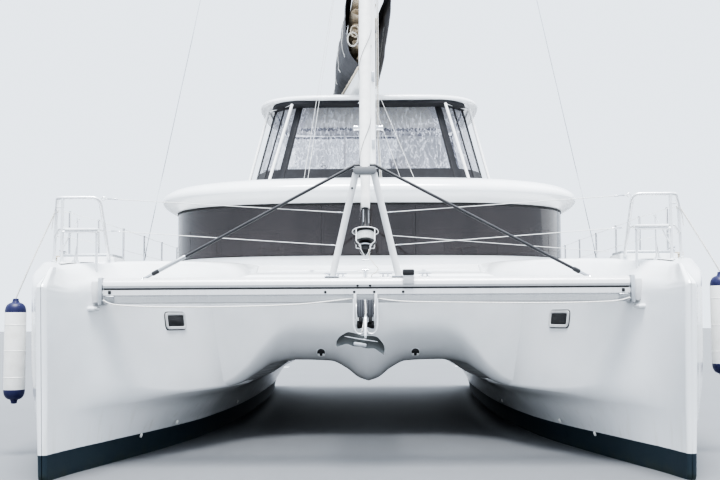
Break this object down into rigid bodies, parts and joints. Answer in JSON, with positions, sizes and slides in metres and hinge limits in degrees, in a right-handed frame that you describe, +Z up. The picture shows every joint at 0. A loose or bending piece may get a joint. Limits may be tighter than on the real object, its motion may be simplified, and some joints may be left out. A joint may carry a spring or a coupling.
{
  "type": "sailing catamaran",
  "caption": "Cruising sailing catamaran with a glazed cabin, a curtained flying bridge with a hardtop, a mast with a covered boom, a furled headsail and keels, afloat.",
  "frame": {"origin": "on the waterline, on the centreline, halfway along the hulls", "axes": "+X to port, +Y aft, +Z up; the bows point along -Y"},
  "size_m": [8.31, 13.99, 23.75],
  "materials": {
    "gelcoat": "white gelcoat over laminate, glossy, with a dark navy bottom paint under the waterline",
    "painted_alloy": "white or silver coated aluminium extrusion",
    "stainless": "polished stainless steel tube and wire",
    "black_rigging": "satin black rods and drum",
    "netting": "pale woven net",
    "tinted_glass": "dark tinted glass",
    "grey_canvas": "dark grey woven canvas with clear windows in the flying bridge's curtains",
    "sailcloth": "white cloth; the fenders have navy ends",
    "joinery": "oiled hardwood joinery",
    "upholstery": "woven upholstery",
    "foil_paint": "dark navy bottom paint over laminate",
    "drive_casting": "painted casting, engine block grey",
    "bronze": "bronze"
  },
  "bodies": {
    "boat": {"hull_port": "gelcoat", "hull_stbd": "gelcoat", "bridgedeck": "gelcoat", "crossbeam": "painted_alloy", "striker_frame": "painted_alloy", "striker_stay": "black_rigging", "bow_spine": "painted_alloy", "anchor": "stainless", "trampoline_port": "netting", "trampoline_stbd": "netting", "cabin_wall": "gelcoat", "glass_front": "tinted_glass", "glass_port": "tinted_glass", "glass_stbd": "tinted_glass", "aft_bulkhead": "gelcoat", "roof": "gelcoat", "roof_pillar_port": "gelcoat", "roof_pillar_stbd": "gelcoat", "saloon_seating": "upholstery", "galley": "joinery", "cockpit_table": "joinery", "fly_stairs": "gelcoat", "flybridge": "gelcoat", "helm_console": "gelcoat", "hardtop": "gelcoat", "hardtop_frame_port": "painted_alloy", "hardtop_frame_stbd": "painted_alloy", "enclosure": "grey_canvas", "mast": "painted_alloy", "spreader_port": "painted_alloy", "spreader_stbd": "painted_alloy", "shroud_port": "stainless", "shroud_stbd": "stainless", "pulpit_port": "stainless", "pulpit_stbd": "stainless", "guardrail_port": "stainless", "guardrail_stbd": "stainless", "drive_port": "drive_casting", "drive_stbd": "drive_casting", "fender_port": "sailcloth", "fender_stbd": "sailcloth"},
    "swivel": {"gooseneck": "stainless"},
    "boom": {"boom": "painted_alloy", "sail_bag": "grey_canvas"},
    "headsail": {"furler": "black_rigging", "furled_jib": "sailcloth"},
    "door": {"saloon_door": "tinted_glass"},
    "wheel": {"helm_wheel": "stainless"},
    "rudder_port": {"rudder_port": "foil_paint"},
    "rudder_stbd": {"rudder_stbd": "foil_paint"},
    "propeller_port": {"propeller_port": "bronze"},
    "propeller_stbd": {"propeller_stbd": "bronze"},
    "engine_lid_port": {"engine_lid_port": "gelcoat"},
    "engine_lid_stbd": {"engine_lid_stbd": "gelcoat"},
    "locker_lid_port": {"locker_lid_port": "gelcoat"},
    "locker_lid_stbd": {"locker_lid_stbd": "gelcoat"},
    "bow_hatch_port": {"bow_hatch_port": "tinted_glass"},
    "bow_hatch_stbd": {"bow_hatch_stbd": "tinted_glass"}
  },
  "joints": [
    {"name": "boom_swing", "type": "hinge", "parent": "boat", "child": "swivel", "pos_m": [0, -0.24, 5.56], "axis": [0, 0, 1], "range_deg": [-69, 51]},
    {"name": "boom_lift", "type": "hinge", "parent": "swivel", "child": "boom", "pos_m": [-0.02346, -0.09185, 5.56], "axis": [0.9877, 0.1564, 0], "range_deg": [0, 10]},
    {"name": "furler_turn", "type": "hinge", "parent": "boat", "child": "headsail", "pos_m": [0, -5.96, 2.04], "axis": [0, 0.2994, 0.9541], "continuous": true},
    {"name": "door_slide", "type": "slide", "parent": "boat", "child": "door", "axis": [1, 0, 0], "range_m": [0, 1.15]},
    {"name": "helm_turn", "type": "hinge", "parent": "boat", "child": "wheel", "pos_m": [0.9, 1.51, 4.13], "axis": [0, 1, 0], "range_deg": [-450, 450]},
    {"name": "rudder_port_turn", "type": "hinge", "parent": "boat", "child": "rudder_port", "pos_m": [2.8533, 5.9, -0.3], "axis": [0, 0, 1], "range_deg": [-35, 35]},
    {"name": "propeller_port_spin", "type": "hinge", "parent": "boat", "child": "propeller_port", "pos_m": [2.845, 4.685, -0.88], "axis": [0, 1, 0], "continuous": true},
    {"name": "engine_lid_port_open", "type": "hinge", "parent": "boat", "child": "engine_lid_port", "pos_m": [2.91, 3.92, 2.32], "axis": [1, 0, 0], "range_deg": [0, 55]},
    {"name": "locker_lid_port_open", "type": "hinge", "parent": "boat", "child": "locker_lid_port", "pos_m": [0.75, -2.4, 2.17], "axis": [-1, 0, 0], "range_deg": [0, 80]},
    {"name": "bow_hatch_port_open", "type": "hinge", "parent": "boat", "child": "bow_hatch_port", "pos_m": [3.12, -4.79, 2.255], "axis": [-1, 0, 0], "range_deg": [0, 85]},
    {"name": "rudder_stbd_turn", "type": "hinge", "parent": "boat", "child": "rudder_stbd", "pos_m": [-2.8533, 5.9, -0.3], "axis": [0, 0, 1], "range_deg": [-35, 35]},
    {"name": "propeller_stbd_spin", "type": "hinge", "parent": "boat", "child": "propeller_stbd", "pos_m": [-2.845, 4.685, -0.88], "axis": [0, 1, 0], "continuous": true},
    {"name": "engine_lid_stbd_open", "type": "hinge", "parent": "boat", "child": "engine_lid_stbd", "pos_m": [-2.91, 3.92, 2.32], "axis": [1, 0, 0], "range_deg": [0, 55]},
    {"name": "locker_lid_stbd_open", "type": "hinge", "parent": "boat", "child": "locker_lid_stbd", "pos_m": [-0.75, -2.4, 2.17], "axis": [-1, 0, 0], "range_deg": [0, 80]},
    {"name": "bow_hatch_stbd_open", "type": "hinge", "parent": "boat", "child": "bow_hatch_stbd", "pos_m": [-3.12, -4.79, 2.255], "axis": [-1, 0, 0], "range_deg": [0, 85]}
  ],
  "couplings": [
    {"joint": "rudder_port_turn", "follows": "helm_turn", "ratio": -0.0777},
    {"joint": "rudder_stbd_turn", "follows": "helm_turn", "ratio": -0.0777}
  ]
}
